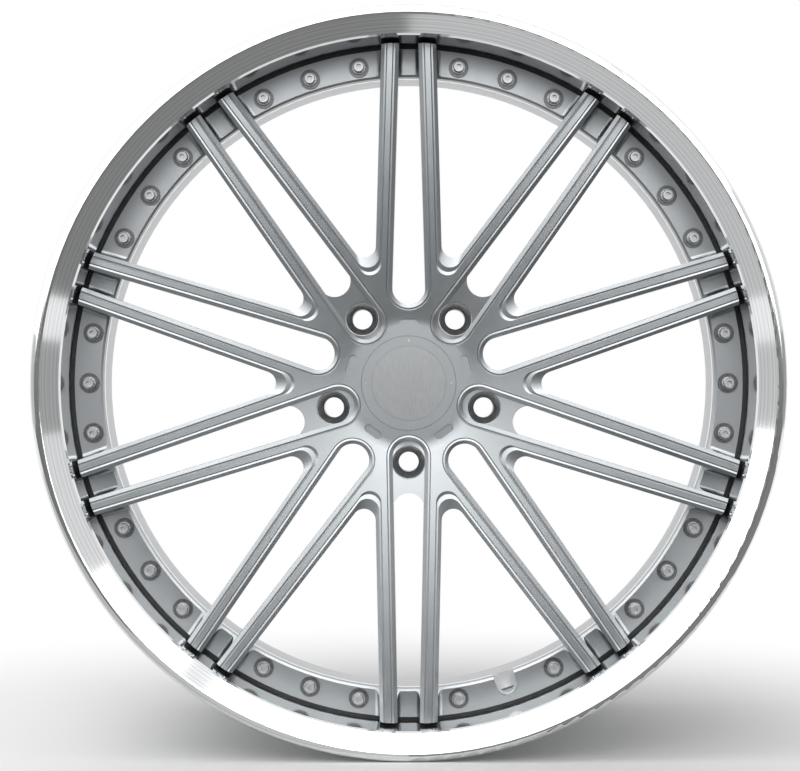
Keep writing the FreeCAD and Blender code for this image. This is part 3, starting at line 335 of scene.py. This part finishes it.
# ---------------------------------------------------------------------------------------------------
# Hub ring clip
# A snap ring of spring wire that keeps the hub ring in the disc when the wheel is off the car.

SPRING_DARK = (0.18, 0.185, 0.19, 1.0)
SPRING_LIGHT = (0.34, 0.345, 0.35, 1.0)
SPRING_STREAK_SIZE = 0.001
SPRING_STREAK_LIFT = 0.000008


def spring_wire(name):
    """The finish of drawn spring steel, for both clips."""
    wire = Finish(name, metallic=1.0, roughness=0.3)
    streaks = wire.grain(SPRING_STREAK_SIZE, detail=3.0)
    wire.colours(streaks, (0.35, SPRING_DARK), (0.65, SPRING_LIGHT))
    wire.rough(streaks, 0.22, 0.4)
    wire.raised(streaks, SPRING_STREAK_LIFT)
    return wire


spring_wire("hub_clip_spring_steel").put_on(nodes["hub_ring_clip"])

# ---------------------------------------------------------------------------------------------------
# Centre cap
# The cap that snaps into the hub's bore. It is moulded in glass-filled nylon and painted the same
# satin silver as the disc.

CAP_SILVER = (0.31, 0.325, 0.335, 1.0)
CAP_SHADE = (0.26, 0.275, 0.285, 1.0)
CAP_CLOUD_SIZE = 0.006

cap_paint = Finish("cap_silver_paint", metallic=0.85, roughness=0.38)
cap_flakes = cap_paint.grain(FLAKE_SIZE)
cap_paint.colours(cap_flakes, (0.3, CAP_SHADE), (0.7, CAP_SILVER))
cap_paint.rough(cap_paint.grain(CAP_CLOUD_SIZE, detail=3.0), 0.33, 0.43)
cap_paint.raised(cap_flakes, FLAKE_LIFT)
cap_paint.shader.inputs["Coat Weight"].default_value = 0.2
cap_paint.shader.inputs["Coat Roughness"].default_value = 0.3
cap_paint.put_on(nodes["centre_cap"])

# ---------------------------------------------------------------------------------------------------
# Cap face plate
# A thin aluminium disc let into the cap's face. Its front is left plain, in a finely brushed satin
# silver.

PLATE_SILVER = (0.33, 0.34, 0.345, 1.0)
PLATE_SHADE = (0.28, 0.29, 0.295, 1.0)
BRUSH_STRETCH = (1.0, 1.0, 0.06)
BRUSH_WIDTH = 0.0004
BRUSH_LIFT = 0.000003

plate_skin = Finish("cap_plate_brushed", metallic=1.0, roughness=0.36)
brushing = plate_skin.grain(BRUSH_WIDTH, stretch=BRUSH_STRETCH)
plate_skin.colours(brushing, (0.3, PLATE_SHADE), (0.7, PLATE_SILVER))
plate_skin.rough(brushing, 0.3, 0.42)
plate_skin.raised(brushing, BRUSH_LIFT)
plate_skin.put_on(nodes["cap_face_plate"])

# ---------------------------------------------------------------------------------------------------
# Cap face pins
# Four tiny rivets that hold the face plate, in bright steel.

PIN_STEEL = (0.45, 0.455, 0.46, 1.0)
PIN_BRIGHT = (0.62, 0.625, 0.63, 1.0)
PIN_SPOT_SIZE = 0.0004
PIN_SPOT_LIFT = 0.000004

pin_steel = Finish("cap_pin_steel", metallic=1.0, roughness=0.25)
pin_spots = pin_steel.grain(PIN_SPOT_SIZE)
pin_steel.colours(pin_spots, (0.35, PIN_STEEL), (0.65, PIN_BRIGHT))
pin_steel.rough(pin_spots, 0.2, 0.35)
pin_steel.raised(pin_spots, PIN_SPOT_LIFT)
pin_steel.put_on(nodes["cap_face_pins"])

# ---------------------------------------------------------------------------------------------------
# Cap clip ring
# The spring wire in the groove of the cap's skirt, which grips the hub's bore.

spring_wire("cap_clip_spring_steel").put_on(nodes["cap_clip_ring"])

# ---------------------------------------------------------------------------------------------------
# Cap seal ring
# A thin rubber ring under the cap's rim that stops rattles and water.

CAP_DUST_SIZE = 0.003

cap_rubber = Finish("cap_seal_rubber", metallic=0.0, roughness=0.6)
cap_dust = cap_rubber.grain(CAP_DUST_SIZE, detail=3.0)
cap_rubber.colours(cap_dust, (0.4, SEAL_BLACK), (0.75, SEAL_DUSTY))
cap_rubber.rough(cap_dust, 0.5, 0.75)
cap_rubber.raised(cap_dust, RUBBER_LIFT)
cap_rubber.put_on(nodes["cap_seal_ring"])

# ---------------------------------------------------------------------------------------------------
# Floor and backdrop
# A pale sheet of studio paper that the wheel stands on. It sweeps up into white behind and all round.

FLOOR_REACH = 12.0
FLOOR_PALE = (0.84, 0.84, 0.84, 1.0)
SWEEP_START = 0.12
SWEEP_END = 0.72
ROOM_LIGHT = 0.4


def studio_rays(tree):
    """One for the rays that show the background: those of the camera, of gloss and of glass."""
    rays = tree.nodes.new("ShaderNodeLightPath")
    seen = rays.outputs["Is Camera Ray"]
    for other in ("Is Glossy Ray", "Is Transmission Ray"):
        either = tree.nodes.new("ShaderNodeMath")
        either.operation = "MAXIMUM"
        tree.links.new(seen, either.inputs[0])
        tree.links.new(rays.outputs[other], either.inputs[1])
        seen = either.outputs[0]
    return seen


floor_mesh = bpy.data.meshes.new("studio_floor")
low = solid_box[0].z
floor_mesh.from_pydata([(-FLOOR_REACH, -FLOOR_REACH, low), (FLOOR_REACH, -FLOOR_REACH, low),
                        (FLOOR_REACH, FLOOR_REACH, low), (-FLOOR_REACH, FLOOR_REACH, low)],
                       [], [(0, 1, 2, 3)])
floor = bpy.data.objects.new("studio_floor", floor_mesh)
bpy.context.scene.collection.objects.link(floor)
paper = Finish("studio_paper", metallic=0.0, roughness=0.8)
paper.shader.inputs["Base Color"].default_value = FLOOR_PALE
white = paper.node("ShaderNodeEmission")
away = paper.node("ShaderNodeMapRange", interpolation_type="SMOOTHSTEP")
away.inputs["From Min"].default_value = SWEEP_START
away.inputs["From Max"].default_value = SWEEP_END
paper.link(paper.radius_on_floor(), away.inputs["Value"])
sweep = paper.node("ShaderNodeMixShader")
paper.link(paper.math("MULTIPLY", away.outputs["Result"], studio_rays(paper.tree)), sweep.inputs["Fac"])
paper.link(paper.shader.outputs["BSDF"], sweep.inputs[1])
paper.link(white.outputs["Emission"], sweep.inputs[2])
paper.link(sweep.outputs["Shader"], paper.tree.nodes["Material Output"].inputs["Surface"])
paper.put_on(floor)

world = bpy.data.worlds.new("studio_white")
bpy.context.scene.world = world
world.use_nodes = True
room = world.node_tree
room.nodes["Background"].inputs["Color"].default_value = (1.0, 1.0, 1.0, 1.0)
level = room.nodes.new("ShaderNodeMapRange")
level.inputs["To Min"].default_value = ROOM_LIGHT
level.inputs["To Max"].default_value = 1.0
room.links.new(studio_rays(room), level.inputs["Value"])
room.links.new(level.outputs["Result"], room.nodes["Background"].inputs["Strength"])

# ---------------------------------------------------------------------------------------------------
# Lamps and reflector cards
# Two soft boxes, one in front and one overhead, light the wheel and throw its shadow to the right.
# Cards all round are what its metal mirrors: bright above and high in front, grey low and at the sides.

MIDDLE = (0.0, 0.0, 0.0)
ROOM_LEFT = -2.6
ROOM_RIGHT = 2.5
ROOM_FRONT = -3.2
ROOM_BACK = 0.6
ROOM_TOP = 3.2
CARD_CEILING = 1.9
SIDE_STEP = 0.35
GROUND_NEAR = -0.9
OVER_FLOOR = low + 0.002


def soft_box(name, place, target, side, glow):
    """A square lamp whose face shines at the given level, and that the metal doesn't mirror."""
    lamp = bpy.data.lights.new(name, "AREA")
    lamp.shape = "SQUARE"
    lamp.size = side
    lamp.energy = glow * math.pi * side * side
    holder = bpy.data.objects.new(name, lamp)
    holder.location = place
    holder.rotation_euler = (Vector(target) - Vector(place)).to_track_quat("-Z", "Y").to_euler()
    holder.visible_camera = False
    holder.visible_glossy = False
    bpy.context.scene.collection.objects.link(holder)


def card(name, low_corner, high_corner, glow):
    """A flat sheet between two corners that shows the metal one even level of light."""
    (x0, y0, z0), (x1, y1, z1) = low_corner, high_corner
    if z0 == z1:
        corners = [(x0, y0, z0), (x1, y0, z0), (x1, y1, z0), (x0, y1, z0)]
    else:
        corners = [(x0, y0, z0), (x1, y1, z0), (x1, y1, z1), (x0, y0, z1)]
    sheet = bpy.data.meshes.new(name)
    sheet.from_pydata(corners, [], [(0, 1, 2, 3)])
    holder = bpy.data.objects.new(name, sheet)
    bpy.context.scene.collection.objects.link(holder)
    face = Finish(name + "_face", metallic=0.0, roughness=1.0)
    face.shader.inputs["Base Color"].default_value = (0.0, 0.0, 0.0, 1.0)
    face.shader.inputs["Specular IOR Level"].default_value = 0.0
    face.shader.inputs["Emission Color"].default_value = (1.0, 1.0, 1.0, 1.0)
    face.shader.inputs["Emission Strength"].default_value = glow
    face.put_on(holder)
    holder.visible_camera = False
    holder.visible_diffuse = False
    holder.visible_shadow = False


soft_box("overhead_soft_box", (-0.7, -0.4, 2.0), MIDDLE, 1.5, 2.8)
soft_box("front_soft_box", (-0.5, -2.2, 1.7), MIDDLE, 1.8, 1.6)
card("overhead_card", (ROOM_LEFT, -1.8, CARD_CEILING), (1.2, 0.3, CARD_CEILING), 4.0)
card("front_high_card", (ROOM_LEFT, ROOM_FRONT, 1.0), (ROOM_RIGHT, ROOM_FRONT, ROOM_TOP), 5.0)
card("front_middle_card", (ROOM_LEFT, ROOM_FRONT, 0.2), (ROOM_RIGHT, ROOM_FRONT, 1.0), 2.3)
card("front_low_card", (ROOM_LEFT, ROOM_FRONT, low), (ROOM_RIGHT, ROOM_FRONT, 0.2), 0.2)
card("front_ground_card", (ROOM_LEFT, ROOM_FRONT, OVER_FLOOR), (ROOM_RIGHT, GROUND_NEAR, OVER_FLOOR), 0.2)
card("left_high_card", (ROOM_LEFT, ROOM_FRONT, SIDE_STEP), (ROOM_LEFT, ROOM_BACK, CARD_CEILING), 2.4)
card("left_low_card", (ROOM_LEFT, ROOM_FRONT, low), (ROOM_LEFT, ROOM_BACK, SIDE_STEP), 0.62)
card("right_high_card", (ROOM_RIGHT, ROOM_FRONT, 1.5), (ROOM_RIGHT, ROOM_BACK, ROOM_TOP), 1.6)
card("right_middle_card", (ROOM_RIGHT, ROOM_FRONT, SIDE_STEP), (ROOM_RIGHT, ROOM_BACK, 1.5), 0.8)
card("right_low_card", (ROOM_RIGHT, ROOM_FRONT, low), (ROOM_RIGHT, ROOM_BACK, SIDE_STEP), 0.4)
# The ground cards are what the metal mirrors in place of the floor just in front of the wheel; the right
# one is dimmer, a painted shadow of the wheel on the floor.
card("left_ground_card", (-1.2, GROUND_NEAR, OVER_FLOOR), (0.0, -0.15, OVER_FLOOR), 0.6)
card("right_ground_shadow_card", (0.0, GROUND_NEAR, OVER_FLOOR), (1.2, -0.15, OVER_FLOOR), 0.25)

# ---------------------------------------------------------------------------------------------------
# Camera
# It looks straight along the wheel's axis, from the street side.

SENSOR_WIDTH = 36.0
CAMERA_DISTANCE = 1.6265
CAMERA_LENS = 85.0
CAMERA_SHIFT = (-0.0109, -0.003)

camera_data = bpy.data.cameras.new("front_camera")
camera_data.lens = CAMERA_LENS
camera_data.sensor_width = SENSOR_WIDTH
camera_data.shift_x, camera_data.shift_y = CAMERA_SHIFT
camera = bpy.data.objects.new("front_camera", camera_data)
camera.location = (0.0, -CAMERA_DISTANCE, 0.0)
camera.rotation_euler = (math.pi / 2.0, 0.0, 0.0)
bpy.context.scene.collection.objects.link(camera)
bpy.context.scene.camera = camera
bpy.context.scene.view_settings.view_transform = "Standard"
